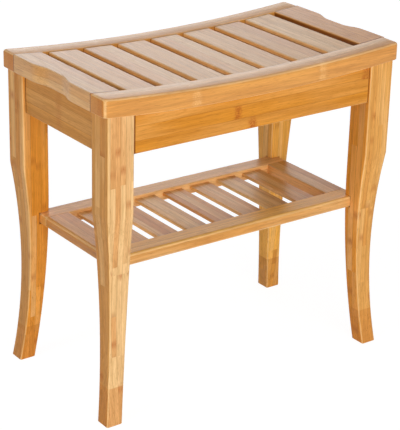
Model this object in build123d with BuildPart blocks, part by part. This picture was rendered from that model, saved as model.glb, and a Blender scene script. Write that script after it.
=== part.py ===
"""Slatted bamboo shower bench: sagging seat, four sabre legs and a slatted shelf.

The bench stands on its four feet at z = 0, centred on the origin.
X runs along the length, Y from front to rear and Z upwards, all in millimetres.
"""

import os
from math import asin, degrees, sqrt

from build123d import *

# Overall sizes
seat_length = 472.0
seat_depth = 250.0
seat_height = 450.0  # top of the seat at its raised ends
seat_sag = 10.5  # how far the middle of the seat lies below its ends

# Seat rails, front and rear
rail_height = 24.0
rail_width = 31.0
rail_corner_radius = 8.0  # in plan, at the seat's four corners
rail_top_radius = 7.0  # outer top edge
rail_bottom_radius = 2.0
rail_inner_chamfer = 0.8

# End pieces, between the rails
end_width = 42.6
end_edge_radius = 1.5
handhold_depth = 7.5
handhold_width = 100.0  # at the outer edge
handhold_floor = 26.0  # straight stretch at the bottom of the scoop

# Seat slats
slat_count = 7
slat_gap = 10.2
slat_thickness = 12.0
slat_recess = 0.8  # slat tops below the rail tops
slat_edge_radius = 1.6
tenon_length = 9.0
tenon_thickness = 6.0
tenon_shoulder = 4.0  # the tenon is narrower than its slat by this on each side

# Legs
leg_width = 39.0  # square at the top
foot_width = 24.2  # square at the floor
leg_inset_side = 6.6  # leg face inside the end of the seat
leg_inset_front = 2.0  # leg face inside the front of the seat
knee_height = 292.0  # the outer faces are straight above the knee
knee_radius = 45.0
waist_height = 155.0
waist_depth = 8.9  # outer face drawn in at the waist
foot_kick = 2.0  # outer face out past its top at the floor
inner_bend_height = 260.0  # the inner faces are straight above this
leg_edge_radius = 3.0
foot_chamfer = 1.0
leg_flat = 10.0  # corner cut off behind the apron, where the block bears

# Aprons
apron_thickness = 16.0
apron_height = 55.0  # under the seat at the seat's raised ends
apron_recess_front = 2.2  # behind the leg's front face
apron_recess_side = 4.3  # behind the leg's side face
apron_end_gap = 0.7
apron_edge_radius = 1.2

# Shelf
shelf_top = 224.5
shelf_notch_side = 16.1  # how far the shelf's ends run past the legs' inner faces
shelf_notch_front = 13.0  # the same for its long sides
shelf_thickness = 16.0
shelf_rail_width = 30.5
shelf_end_width = 35.5
shelf_corner_radius = 12.0
shelf_edge_radius = 5.0
shelf_inner_radius = 1.2
shelf_slat_count = 7
shelf_slat_gap = 14.05
shelf_slat_thickness = 5.0
shelf_slat_recess = 4.5
shelf_slat_edge_radius = 1.0
shelf_slat_housing = 8.0  # how far a shelf slat runs into each rail

# Corner blocks
block_thickness = 20.0
block_height = 40.0
bolt_spacing = 20.0

# Leg bolts, with washer and threaded insert
bolt_diameter = 6.0
bolt_length = 45.0  # under the head
bolt_head_diameter = 10.0
bolt_head_height = 5.0
bolt_socket_radius = 2.3  # to the corners of the hexagon
bolt_socket_depth = 2.8
bolt_tip_room = 2.0
washer_diameter = 14.0
washer_thickness = 1.2
insert_diameter = 10.0
insert_length = 16.0

# Wood screws from the blocks into the aprons
screw_diameter = 4.0
screw_bite = 10.0  # into the apron
screw_head_diameter = 7.6
screw_head_height = 2.6
screw_block_wood = 10.0  # wood left under the head

# Dowels
frame_dowel_diameter = 8.0
frame_dowel_length = 30.0
frame_dowel_edge = 11.0  # dowel centre to the edge of the piece
apron_dowel_reach = 120.0  # outer dowels of a long apron, from mid-length
side_dowel_reach = 50.0  # dowels of a side apron, from mid-depth
shelf_dowel_diameter = 6.0
shelf_dowel_length = 24.0
shelf_dowel_edge = 9.0
leg_dowel_length = 20.0

# Clearances
mortise_clearance = 0.15
notch_clearance = 0.3
bolt_clearance = 0.25
screw_clearance = 0.05
dowel_clearance = 0.05
dowel_end_room = 0.5
beyond = 60.0  # how far a cutting shape reaches past what it cuts

# Seat curve: one arc in the XZ plane, level at mid-length
half_length = seat_length / 2
half_depth = seat_depth / 2
curve_radius = (half_length**2 + seat_sag**2) / (2 * seat_sag)
curve_centre = seat_height - seat_sag + curve_radius
curve_axis = Axis((0, 0, curve_centre), (0, 1, 0))
rail_inner_y = half_depth - rail_width
end_inner_x = half_length - end_width

# Leg faces, as distances from the middle of the bench
leg_outer_x = half_length - leg_inset_side
leg_outer_y = half_depth - leg_inset_front
leg_inner_x = leg_outer_x - leg_width
leg_inner_y = leg_outer_y - leg_width

# Apron faces
apron_outer_x = leg_outer_x - apron_recess_side
apron_outer_y = leg_outer_y - apron_recess_front
apron_inner_x = apron_outer_x - apron_thickness
apron_inner_y = apron_outer_y - apron_thickness
apron_bottom = seat_height - rail_height - apron_height

# Shelf faces
shelf_outer_x = leg_inner_x + shelf_notch_side
shelf_outer_y = leg_inner_y + shelf_notch_front
shelf_inner_x = shelf_outer_x - shelf_end_width
shelf_inner_y = shelf_outer_y - shelf_rail_width
shelf_bottom = shelf_top - shelf_thickness
shelf_middle = shelf_top - shelf_thickness / 2

# Slat widths: the slats and the gaps beside them fill the room between the end pieces
slat_width = (2 * end_inner_x - (slat_count + 1) * slat_gap) / slat_count
shelf_slat_width = (2 * shelf_inner_x - (shelf_slat_count + 1) * shelf_slat_gap) / shelf_slat_count

# Corner block: level with the lowest point of the seat's underside.
# Its two long faces lie where |x| + |y| has these values.
block_top = seat_height - seat_sag - rail_height
block_outer_sum = leg_inner_x + leg_inner_y + leg_flat
block_inner_sum = block_outer_sum - block_thickness * sqrt(2)
block_middle = block_top - block_height / 2
bolt_heights = [block_middle - bolt_spacing / 2, block_middle + bolt_spacing / 2]
screw_length = screw_block_wood + screw_bite

corners = [(side, face) for side in (-1, 1) for face in (-1, 1)]
side_names = {-1: "left", 1: "right"}
face_names = {-1: "front", 1: "rear"}

FROM_START = (Align.CENTER, Align.CENTER, Align.MIN)
CENTRED = (Align.CENTER, Align.CENTER, Align.CENTER)


def save(piece, name):
    """Label a finished piece and write it to its own file."""
    piece.part.label = name
    export_step(piece.part, f"parts/{name}.step")


def seat_z(x, drop=0.0):
    """Height at x of the seat curve, or of the curve that lies drop below it and follows it."""
    return curve_centre - sqrt((curve_radius + drop) ** 2 - x**2)


def seat_arc(x_low, x_high, drop):
    """The seat curve, or the one drop below it, from x_low to x_high, in the current line."""
    x_middle = (x_low + x_high) / 2
    points = [(x, seat_z(x, drop)) for x in (x_low, x_middle, x_high)]
    return ThreePointArc(*points)


def curved_band(x_low, x_high, y_low, y_high, mode=Mode.ADD):
    """The full height of the seat frame between its two parallel curves."""
    with BuildSketch(Plane.XZ.offset(-y_high)) as outline:
        with BuildLine():
            top = seat_arc(x_low, x_high, 0)
            bottom = seat_arc(x_low, x_high, rail_height)
            Line(top @ 0, bottom @ 0)
            Line(top @ 1, bottom @ 1)
        make_face()
    extrude(outline.sketch, amount=y_high - y_low, mode=mode)


def board_under_seat(x_low, x_high, y_low, y_high, z_low, mode=Mode.ADD):
    """A board from z_low up to the curved underside of the seat frame."""
    with BuildSketch(Plane.XZ.offset(-y_high)) as outline:
        with BuildLine():
            top = seat_arc(x_low, x_high, rail_height)
            Polyline(top @ 0, (x_low, z_low), (x_high, z_low), top @ 1)
        make_face()
    extrude(outline.sketch, amount=y_high - y_low, mode=mode)


def slat_places(count, pitch):
    """Slat centres, evenly spread about mid-length."""
    return [(place - (count - 1) / 2) * pitch for place in range(count)]


def rods(planes, radius, length, align=FROM_START, mode=Mode.ADD):
    """Round rods, or holes, along each plane's normal, from the plane on unless centred on it."""
    with Locations(*planes):
        Cylinder(radius, length, align=align, mode=mode)


def holes(planes, radius, depth):
    rods(planes, radius, depth, mode=Mode.SUBTRACT)


def dowel_holes(planes, diameter, length):
    """Room for dowels that have their middle on each plane."""
    rods(planes, diameter / 2 + dowel_clearance, length + 2 * dowel_end_room, CENTRED, Mode.SUBTRACT)


def dowel_group(planes, diameter, length):
    """Loose dowels with their middle on each plane, as one node."""
    with BuildPart() as group:
        rods(planes, diameter / 2, length, CENTRED)
    return group


# Seat slats


def slat_plane(x):
    """Plane on top of the seat slat at x, tilted with the seat curve."""
    slope = x / curve_radius
    normal = (-slope, 0, sqrt(1 - slope**2))
    along = (normal[2], 0, slope)
    top = (x - slat_recess * normal[0], 0, seat_z(x) - slat_recess * normal[2])
    return Plane(origin=top, x_dir=along, z_dir=normal)


seat_slat_xs = slat_places(slat_count, slat_width + slat_gap)
tenon_width = slat_width - 2 * tenon_shoulder
tenon_span = 2 * (rail_inner_y + tenon_length)
tenon_drop = -slat_thickness / 2


def seat_slat(x):
    with BuildPart(slat_plane(x)) as slat:
        Box(slat_width, 2 * rail_inner_y, slat_thickness, align=(Align.CENTER, Align.CENTER, Align.MAX))
        fillet(slat.edges().filter_by(Axis.Y), slat_edge_radius)
        with Locations((0, 0, tenon_drop)):
            Box(tenon_width, tenon_span, tenon_thickness)
    return slat


def seat_mortises():
    """Mortises for the tenons of all seat slats, cut from the current rail."""
    width = tenon_width + 2 * mortise_clearance
    span = tenon_span + 2 * dowel_end_room
    thickness = tenon_thickness + 2 * mortise_clearance
    with Locations(*[slat_plane(x).offset(tenon_drop) for x in seat_slat_xs]):
        Box(width, span, thickness, mode=Mode.SUBTRACT)


# Places of the seat dowels


def end_dowel_planes(side, face):
    """Dowels between an end piece and a rail."""
    xs = [end_inner_x + frame_dowel_edge, half_length - frame_dowel_edge - handhold_depth / 2]
    origins = [(side * x, face * rail_inner_y, seat_z(x, rail_height / 2)) for x in xs]
    return [Plane(origin=origin, z_dir=(0, face, 0)) for origin in origins]


def long_apron_dowel_planes(face):
    """Dowels between the front or rear apron and the rail above it."""
    y = face * (apron_outer_y + apron_inner_y) / 2
    xs = [-apron_dowel_reach, 0, apron_dowel_reach]
    return [Plane(origin=(x, y, seat_z(x, rail_height))) for x in xs]


def side_apron_dowel_planes(side):
    """Dowels between a side apron and the end piece above it."""
    x = side * (apron_outer_x + apron_inner_x) / 2
    return [Plane(origin=(x, y, seat_z(x, rail_height))) for y in (-side_dowel_reach, side_dowel_reach)]


# Seat rails


def rail_profile(face):
    """Cross-section of a seat rail at mid-length: outer edges round, inner top edge bevelled."""
    top = seat_height - seat_sag
    outline = [
        (face * half_depth, top),
        (face * half_depth, top - rail_height),
        (face * rail_inner_y, top - rail_height),
        (face * rail_inner_y, top - rail_inner_chamfer),
        (face * (rail_inner_y + rail_inner_chamfer), top),
    ]
    with BuildSketch(Plane.YZ) as profile:
        with BuildLine():
            FilletPolyline(*outline, radius=[rail_top_radius, rail_bottom_radius, 0, 0, 0], close=True)
        make_face()
    return profile.sketch


def seat_rail(face):
    half_angle = degrees(asin((half_length + rail_corner_radius) / curve_radius))
    with BuildPart() as rail:
        revolve(rail_profile(face), axis=curve_axis, revolution_arc=half_angle)
        mirror(about=Plane.YZ)
        with BuildSketch() as plan:
            RectangleRounded(seat_length, seat_depth, rail_corner_radius)
        extrude(plan.sketch, amount=seat_height + beyond, mode=Mode.INTERSECT)
        seat_mortises()
        for side in (-1, 1):
            dowel_holes(end_dowel_planes(side, face), frame_dowel_diameter, frame_dowel_length)
        dowel_holes(long_apron_dowel_planes(face), frame_dowel_diameter, frame_dowel_length)
    return rail


# End pieces


def handhold_curve(face):
    """One end of the hand-hold in plan, as two equal arcs, from the outer edge to the floor."""
    start = (half_length, face * handhold_width / 2)
    finish = (half_length - handhold_depth, face * handhold_floor / 2)
    middle = ((start[0] + finish[0]) / 2, (start[1] + finish[1]) / 2)
    first = TangentArc(start, middle, tangent=(0, -face))
    TangentArc(middle, finish, tangent=first % 1)


def end_piece(side):
    """The right end piece, or its mirror image on the left."""
    with BuildPart() as end:
        with BuildSketch() as plan:
            with BuildLine():
                handhold_curve(-1)
                handhold_curve(1)
                floor_x = half_length - handhold_depth
                Line((floor_x, -handhold_floor / 2), (floor_x, handhold_floor / 2))
                Polyline(
                    (half_length, handhold_width / 2),
                    (half_length, rail_inner_y),
                    (end_inner_x, rail_inner_y),
                    (end_inner_x, -rail_inner_y),
                    (half_length, -rail_inner_y),
                    (half_length, -handhold_width / 2),
                )
            make_face()
        extrude(plan.sketch, amount=seat_height + beyond)
        curved_band(0, half_length + beyond, -half_depth, half_depth, mode=Mode.INTERSECT)
        outer_edges = end.edges().filter_by(
            lambda edge: edge.center().X > floor_x - end_edge_radius and abs((edge % 0.5).Z) < 0.5
        )
        fillet(outer_edges, end_edge_radius)
        inner_edges = end.edges().filter_by(Axis.Y).group_by(Axis.X)[0]
        fillet(inner_edges, slat_edge_radius)
        for face in (-1, 1):
            dowel_holes(end_dowel_planes(1, face), frame_dowel_diameter, frame_dowel_length)
        dowel_holes(side_apron_dowel_planes(1), frame_dowel_diameter, frame_dowel_length)
        if side < 0:
            mirror(about=Plane.YZ, mode=Mode.REPLACE)
    return end


# Places of the leg bolts and block screws


def diagonal_plane(side, face, sum_xy, z, outwards=1):
    """Plane square to a corner's diagonal, where |x| + |y| is sum_xy, on the leg's centre line."""
    off_diagonal = leg_inner_x - leg_inner_y
    x = side * (sum_xy + off_diagonal) / 2
    y = face * (sum_xy - off_diagonal) / 2
    return Plane(origin=(x, y, z), x_dir=(0, 0, 1), z_dir=(side * outwards, face * outwards, 0))


def bolt_planes(side, face, sum_xy, outwards=1):
    return [diagonal_plane(side, face, sum_xy, z, outwards) for z in bolt_heights]


def screw_planes(side, face):
    """Seats of the block screws' heads: one screw into the long apron, one into the side apron."""
    middle_sum = (block_outer_sum + block_inner_sum) / 2
    long_x = middle_sum - apron_inner_y
    long_y = apron_inner_y - screw_block_wood
    side_x = apron_inner_x - screw_block_wood
    side_y = middle_sum - apron_inner_x
    return [
        Plane(origin=(side * long_x, face * long_y, block_middle), z_dir=(0, face, 0)),
        Plane(origin=(side * side_x, face * side_y, block_middle), z_dir=(side, 0, 0)),
    ]


def all_corner_planes(make_planes, *values):
    """The planes of make_planes at all four corners, in one list."""
    return [plane for side, face in corners for plane in make_planes(side, face, *values)]


# Aprons


def long_apron(face):
    y_low, y_high = sorted((face * apron_inner_y, face * apron_outer_y))
    end_x = leg_inner_x - apron_end_gap
    with BuildPart() as apron:
        board_under_seat(-end_x, end_x, y_low, y_high, apron_bottom)
        fillet(apron.edges().filter_by(Axis.X).group_by(Axis.Z)[0], apron_edge_radius)
        dowel_holes(long_apron_dowel_planes(face), frame_dowel_diameter, frame_dowel_length)
        for side in (-1, 1):
            holes(screw_planes(side, face)[:1], screw_diameter / 2 + screw_clearance, screw_length)
    return apron


def side_apron(side):
    x_low, x_high = sorted((side * apron_inner_x, side * apron_outer_x))
    end_y = leg_inner_y - apron_end_gap
    with BuildPart() as apron:
        board_under_seat(x_low, x_high, -end_y, end_y, apron_bottom)
        fillet(apron.edges().filter_by(Axis.Y).group_by(Axis.Z)[0], apron_edge_radius)
        dowel_holes(side_apron_dowel_planes(side), frame_dowel_diameter, frame_dowel_length)
        for face in (-1, 1):
            holes(screw_planes(side, face)[1:], screw_diameter / 2 + screw_clearance, screw_length)
    return apron


# Corner blocks


def corner_block(side, face):
    outline = [
        (block_outer_sum - apron_inner_y, apron_inner_y),
        (apron_inner_x, block_outer_sum - apron_inner_x),
        (apron_inner_x, block_inner_sum - apron_inner_x),
        (block_inner_sum - apron_inner_y, apron_inner_y),
    ]
    with BuildPart() as block:
        with BuildSketch(Plane.XY.offset(block_top - block_height)):
            Polygon([(side * x, face * y) for x, y in outline], align=None)
        extrude(amount=block_height)
        planes = bolt_planes(side, face, block_inner_sum - beyond)
        holes(planes, bolt_diameter / 2 + bolt_clearance, 2 * beyond)
        for plane in screw_planes(side, face):
            holes([plane], screw_diameter / 2 + screw_clearance, screw_length)
            holes([plane.offset(-beyond)], screw_head_diameter / 2 + bolt_clearance, beyond)
    return block


# Legs


def leg_profile(plane, sign, inner, outer):
    """Side view of a leg, curved towards sign, as a slab across the whole bench."""
    with BuildSketch(plane) as outline:
        with BuildLine():
            face = Line((sign * outer, seat_height), (sign * outer, knee_height))
            ThreePointArc(
                face @ 1,
                (sign * (outer - waist_depth), waist_height),
                (sign * (outer + foot_kick), 0),
            )
            back = Line((sign * inner, seat_height), (sign * inner, inner_bend_height))
            foot_inner = outer + foot_kick - foot_width
            TangentArc(back @ 1, (sign * foot_inner, 0), tangent=(0, -1))
            Line((sign * foot_inner, 0), (sign * (outer + foot_kick), 0))
            Line(back @ 0, face @ 0)
        make_face()
        knee = outline.vertices().sort_by_distance((sign * outer, knee_height))[0]
        fillet(knee, knee_radius)
    return outline.sketch


def leg(side, face):
    with BuildPart() as leg_part:
        front_view = leg_profile(Plane.XZ, side, leg_inner_x, leg_outer_x)
        extrude(front_view, amount=seat_depth, both=True)
        side_view = leg_profile(Plane.YZ, face, leg_inner_y, leg_outer_y)
        extrude(side_view, amount=seat_length, both=True, mode=Mode.INTERSECT)
        long_edges = leg_part.edges().filter_by(lambda edge: abs((edge % 0.5).Z) > 0.5)
        fillet(long_edges, leg_edge_radius)
        chamfer(leg_part.edges().group_by(Axis.Z)[0], foot_chamfer)
        board_under_seat(-half_length, half_length, -half_depth, half_depth, 0, mode=Mode.INTERSECT)
        with BuildSketch(Plane.XY.offset(block_top - block_height - notch_clearance)) as flat:
            cut = leg_flat + leg_width
            corner_points = [
                (leg_inner_x - leg_width, leg_inner_y - leg_width),
                (leg_inner_x + cut, leg_inner_y - leg_width),
                (leg_inner_x - leg_width, leg_inner_y + cut),
            ]
            Polygon([(side * x, face * y) for x, y in corner_points], align=None)
        extrude(flat.sketch, amount=seat_height, mode=Mode.SUBTRACT)
        with BuildSketch(Plane.XY.offset(shelf_bottom - notch_clearance)) as notch:
            RectangleRounded(
                2 * (shelf_outer_x + notch_clearance),
                2 * (shelf_outer_y + notch_clearance),
                shelf_corner_radius + notch_clearance,
            )
        extrude(notch.sketch, amount=shelf_thickness + 2 * notch_clearance, mode=Mode.SUBTRACT)
        planes = bolt_planes(side, face, block_outer_sum)
        holes(planes, insert_diameter / 2 + screw_clearance, insert_length)
        bolt_in_leg = bolt_length - block_thickness - washer_thickness
        holes(planes, bolt_diameter / 2 + bolt_clearance, bolt_in_leg + bolt_tip_room)
        dowel_holes(leg_dowel_planes(side, face), shelf_dowel_diameter, leg_dowel_length)
    return leg_part


# Shelf

shelf_slat_xs = slat_places(shelf_slat_count, shelf_slat_width + shelf_slat_gap)
shelf_slat_middle = shelf_top - shelf_slat_recess - shelf_slat_thickness / 2


def leg_dowel_planes(side, face):
    """The diagonal dowel from the shelf's rounded corner into its leg."""
    reach = shelf_corner_radius / sqrt(2) - shelf_corner_radius
    corner = (side * (shelf_outer_x + reach), face * (shelf_outer_y + reach), shelf_middle)
    return [Plane(origin=corner, x_dir=(0, 0, 1), z_dir=(side, face, 0))]


def shelf_dowel_planes(side, face):
    """Dowels between a shelf end board and a shelf rail."""
    xs = [shelf_inner_x + shelf_dowel_edge, shelf_outer_x - shelf_dowel_edge]
    origins = [(side * x, face * shelf_inner_y, shelf_middle) for x in xs]
    return [Plane(origin=origin, z_dir=(0, face, 0)) for origin in origins]


def shelf_board(x, y, length, width):
    """A plain board of the shelf frame, centred on x and y, in the current part."""
    with Locations((x, y, shelf_middle)):
        Box(length, width, shelf_thickness)


def shelf_slat(x):
    with BuildPart() as slat:
        with Locations((x, 0, shelf_slat_middle)):
            Box(shelf_slat_width, 2 * (shelf_inner_y + shelf_slat_housing), shelf_slat_thickness)
        fillet(slat.edges().filter_by(Axis.Y), shelf_slat_edge_radius)
    return slat


def shelf_housings():
    """Housings for the ends of all shelf slats, cut from the current rail."""
    width = shelf_slat_width + 2 * mortise_clearance
    span = 2 * (shelf_inner_y + shelf_slat_housing + dowel_end_room)
    thickness = shelf_slat_thickness + 2 * mortise_clearance
    with Locations(*[(x, 0, shelf_slat_middle) for x in shelf_slat_xs]):
        Box(width, span, thickness, mode=Mode.SUBTRACT)


def shelf_rail(face):
    middle_y = (shelf_inner_y + shelf_outer_y) / 2
    with BuildPart() as rail:
        shelf_board(0, face * middle_y, 2 * shelf_outer_x, shelf_rail_width)
        corner_edges = rail.edges().filter_by(Axis.Z).group_by(lambda edge: face * edge.center().Y)[-1]
        fillet(corner_edges, shelf_corner_radius)
        inner_edges = rail.edges().filter_by(Axis.X).group_by(lambda edge: face * edge.center().Y)[0]
        fillet(inner_edges.sort_by(Axis.Z)[-1], shelf_inner_radius)
        rims = rail.edges().filter_by(
            lambda edge: abs((edge % 0.5).Z) < 0.1 and face * edge.center().Y > middle_y
        )
        fillet(rims, shelf_edge_radius)
        shelf_housings()
        for side in (-1, 1):
            dowel_holes(shelf_dowel_planes(side, face), shelf_dowel_diameter, shelf_dowel_length)
            dowel_holes(leg_dowel_planes(side, face), shelf_dowel_diameter, leg_dowel_length)
    return rail


def shelf_end(side):
    with BuildPart() as board:
        shelf_board(side * (shelf_inner_x + shelf_outer_x) / 2, 0, shelf_end_width, 2 * shelf_inner_y)
        outer_edges = board.edges().filter_by(Axis.Y).group_by(lambda edge: abs(edge.center().X))[-1]
        fillet(outer_edges, shelf_edge_radius)
        inner_edges = board.edges().filter_by(Axis.Y).group_by(lambda edge: abs(edge.center().X))[0]
        fillet(inner_edges.sort_by(Axis.Z)[-1], shelf_inner_radius)
        for face in (-1, 1):
            dowel_holes(shelf_dowel_planes(side, face), shelf_dowel_diameter, shelf_dowel_length)
    return board


# Hardware


def leg_bolts():
    with BuildPart() as bolts:
        seats = all_corner_planes(bolt_planes, block_inner_sum - washer_thickness * sqrt(2))
        rods(seats, bolt_diameter / 2, bolt_length)
        rods([seat.offset(-bolt_head_height) for seat in seats], bolt_head_diameter / 2, bolt_head_height)
        for seat in seats:
            with BuildSketch(seat.offset(-bolt_head_height)) as socket:
                RegularPolygon(bolt_socket_radius, 6)
            extrude(socket.sketch, amount=bolt_socket_depth, mode=Mode.SUBTRACT)
    return bolts


def leg_washers():
    with BuildPart() as washers:
        planes = all_corner_planes(bolt_planes, block_inner_sum, -1)
        rods(planes, washer_diameter / 2, washer_thickness)
        holes(planes, bolt_diameter / 2 + bolt_clearance, washer_thickness)
    return washers


def leg_inserts():
    with BuildPart() as inserts:
        planes = all_corner_planes(bolt_planes, block_outer_sum)
        rods(planes, insert_diameter / 2, insert_length)
        holes(planes, bolt_diameter / 2 + screw_clearance, insert_length)
    return inserts


def block_screws():
    with BuildPart() as screws:
        seats = all_corner_planes(screw_planes)
        rods(seats, screw_diameter / 2, screw_length)
        rods([seat.offset(-screw_head_height) for seat in seats], screw_head_diameter / 2, screw_head_height)
    return screws


def write_all():
    os.makedirs("parts", exist_ok=True)
    for face in (-1, 1):
        save(seat_rail(face), f"seat_rail_{face_names[face]}")
        save(long_apron(face), f"apron_{face_names[face]}")
        save(shelf_rail(face), f"shelf_rail_{face_names[face]}")
    for side in (-1, 1):
        save(end_piece(side), f"seat_end_{side_names[side]}")
        save(side_apron(side), f"apron_{side_names[side]}")
        save(shelf_end(side), f"shelf_end_{side_names[side]}")
    for side, face in corners:
        place = f"{face_names[face]}_{side_names[side]}"
        save(leg(side, face), f"leg_{place}")
        save(corner_block(side, face), f"corner_block_{place}")
    for number, x in enumerate(seat_slat_xs, start=1):
        save(seat_slat(x), f"seat_slat_{number}")
    for number, x in enumerate(shelf_slat_xs, start=1):
        save(shelf_slat(x), f"shelf_slat_{number}")
    save(leg_bolts(), "leg_bolts")
    save(leg_washers(), "leg_washers")
    save(leg_inserts(), "leg_inserts")
    save(block_screws(), "block_screws")
    end_planes = all_corner_planes(end_dowel_planes)
    save(dowel_group(end_planes, frame_dowel_diameter, frame_dowel_length), "end_dowels")
    apron_planes = [plane for face in (-1, 1) for plane in long_apron_dowel_planes(face)]
    apron_planes += [plane for side in (-1, 1) for plane in side_apron_dowel_planes(side)]
    save(dowel_group(apron_planes, frame_dowel_diameter, frame_dowel_length), "apron_dowels")
    shelf_planes = all_corner_planes(shelf_dowel_planes)
    save(dowel_group(shelf_planes, shelf_dowel_diameter, shelf_dowel_length), "shelf_dowels")
    leg_planes = all_corner_planes(leg_dowel_planes)
    save(dowel_group(leg_planes, shelf_dowel_diameter, leg_dowel_length), "leg_dowels")


write_all()
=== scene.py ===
"""Slatted bamboo shower bench: boards, laminated bamboo finish and steel fittings.

The construction frame gives every piece its place. All sizes are in metres: X runs along
the bench, Y from its front to its rear and Z up, with the feet on z = 0.
"""

from math import radians, sqrt

import bmesh
import bpy
from bpy.props import FloatProperty, FloatVectorProperty, PointerProperty
from mathutils import Euler, Matrix, Vector


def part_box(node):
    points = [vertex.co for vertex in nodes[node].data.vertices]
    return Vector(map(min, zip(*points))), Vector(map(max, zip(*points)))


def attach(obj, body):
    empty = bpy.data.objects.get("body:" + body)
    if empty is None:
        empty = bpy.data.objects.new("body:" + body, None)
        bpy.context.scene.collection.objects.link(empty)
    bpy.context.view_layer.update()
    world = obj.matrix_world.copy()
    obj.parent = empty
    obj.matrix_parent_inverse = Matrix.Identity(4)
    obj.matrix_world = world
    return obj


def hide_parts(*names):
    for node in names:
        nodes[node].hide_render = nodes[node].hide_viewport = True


bl_info = {
    "name": "Bamboo Shower Bench",
    "version": (1, 0, 0),
    "blender": (4, 5, 0),
    "location": "View3D > Sidebar > Bench",
    "description": "Builds a slatted bamboo shower bench round its construction frame",
    "category": "Add Mesh",
}

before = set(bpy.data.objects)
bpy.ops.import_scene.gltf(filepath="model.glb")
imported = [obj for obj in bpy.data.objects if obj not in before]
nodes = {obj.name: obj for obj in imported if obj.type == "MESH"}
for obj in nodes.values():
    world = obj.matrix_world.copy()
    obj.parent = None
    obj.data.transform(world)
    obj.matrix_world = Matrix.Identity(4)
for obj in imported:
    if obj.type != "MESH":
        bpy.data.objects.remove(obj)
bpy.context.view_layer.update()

# The axes along a board's grain, across it and into its depth
X, Y, Z = "X", "Y", "Z"
ALONG_X = (X, Z, Y)
FLAT_X = (X, Y, Z)
ALONG_Y = (Y, X, Z)
SIDE_BOARD = (Y, Z, X)
UPRIGHT = (Z, X, Y)

# Features per metre along the grain, across it and into the depth
STREAKS = (7.0, 190.0, 190.0)
FIBRES = (28.0, 1100.0, 1100.0)
FLECKS = (70.0, 1500.0, 1500.0)
CLOUDS = (5.0, 22.0, 22.0)
PORES = (40.0, 900.0, 900.0)
RING_WAVES = (40.0, 260.0, 260.0)

# Features per metre along X, Y and Z
MARK_WAVES = (150.0, 220.0, 220.0)
SPECKLES = (420.0, 420.0, 420.0)
BRUSHING = (400.0, 400.0, 4000.0)

# Strips
MARGIN = 0.002  # how far the outermost strips reach past their board
STAGGER_ACROSS = 0.11  # from a strip's butt joints to those of the next strip across
STAGGER_DEEP = 0.07  # the same for the next strip into the depth
PIECE_STEP = 0.37  # from one piece's seed to the next along a strip
SHIFT_ALONG = 7.0  # the most that a strip's grain is moved along the board
SHIFT_ACROSS = 3.0  # the same across the board
LINE_FACING = 0.6  # a face that is turned this far along a glue line's normal shows none of it

# Rings where the culm had its joints
RING_WAVE = 0.006  # how far a ring strays along its strip
RIDGE_WIDTH = 0.0016
BAND_EDGE = (0.001, 0.009)  # where the band starts and ends to fade, from the ring's middle
RIDGE_STRENGTH = 0.04
BAND_STRENGTH = 0.2
NO_RINGS = 50.0  # a ring spacing so long that no ring falls on the bench

# Marks, which are rings at chosen places
MARK_WAVE = 0.008  # how far a mark strays along its strip
MARK_EDGE = (0.002, 0.009)  # where a mark starts and ends to fade, from its middle
MARK_LEAST = 0.4  # share of a mark's strength that is left between its speckles
SPECKLE_RANGE = (0.38, 0.58)
SAME = 0.1  # numbers of strips that differ by less than this are the same

# Painted shadow lines at joints, and painted shade low on the sides
JOINT_SHADOW_EDGE = (0.0020, 0.0010)  # where a joint's painted shadow line starts and is full, before the joint
LEFT_REACH = 0.003  # corners that lie this near to a board's left side are on it
PAINTED_SHADE_FADE = 0.003  # depth over which the painted shade on a side fades in
FOOT_EDGE = 0.0004  # how far above and below its joint a foot's wood fades
END_PAINTED_SHADE_DEPTH = 0.0005  # depth below an end piece's top where the painted shade on its inner side starts
INNER_REACH = 0.0006  # how far past an end piece's inner side the painted shade still goes

# Masks: the values between which each goes from none to all
GRAIN_RANGE = (0.3, 0.7)
FLECK_RANGE = (0.6, 0.72)
PORE_RANGE = (0.18, 0.4)
PALE_TONE = (0.7, 1.3)
DEEP_TONE = (0.65, 0.05)
SIDE_FACING = (0.6, 0.95)
END_FACING = (0.75, 0.9)
# where the painted highlight on rounded edges fades in, as a face turns from the board's axes
ROUND_HIGHLIGHT_FACING = (0.94, 0.82)

# Strengths in the finish
CLOUD_TONE = 0.35
FOOT_CARAMEL = 0.5
# strength of the painted cream highlight on rounded edges
ROUND_EDGE_HIGHLIGHT = 0.6
RING_STREAKS = (0.8, 0.3)  # change with the streaks, and strength where there is none
BRIGHTNESS = {  # each mask's change of the brightness, and the brightness where it is none
    "Streak": (0.22, 0.87),
    "Fibre": (0.14, 0.93),
    "Fleck": (-0.26, 1.0),
    "Seam": (-0.30, 1.0),
    # painted shade: shadow lines at the joints, and the lower sides darker in the gaps
    "Painted shade": (-0.6, 1.0),
}
PORE_BRIGHTNESS = (0.25, 0.62)  # the same for the pores of end grain
GREEN_POWER = 1.3  # shade takes more green than red, and more blue than green
BLUE_POWER = 1.8
END_TINT = (0.94, 0.80, 0.54, 1.0)  # end grain is warmer than the sides of a strip
ROUGHNESS = (-0.10, 0.48)  # change with the fibres, and roughness where there is none
END_ROUGHNESS = 0.2
GRAIN_HEIGHT = 0.3
SEAM_HEIGHT = -0.6
BUMP_STRENGTH = 0.35
BUMP_DISTANCE = 0.0004
COAT_ROUGHNESS = 0.25

# The first seed of each group of boards, so that no two boards look alike
SEEDS = {
    "seat rails": 11,
    "seat ends": 21,
    "seat slats": 31,
    "aprons": 41,
    "legs": 61,
    "shelf rails": 71,
    "shelf ends": 81,
    "shelf slats": 91,
    "corner blocks": 101,
    "dowels": 111,
}

# Steel
DARK_STEEL = (0.50, 0.50, 0.51, 1.0)
PALE_STEEL = (0.66, 0.66, 0.66, 1.0)
STEEL_RANGE = (0.2, 0.8)
STEEL_ROUGHNESS = (0.28, 0.45)

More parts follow.
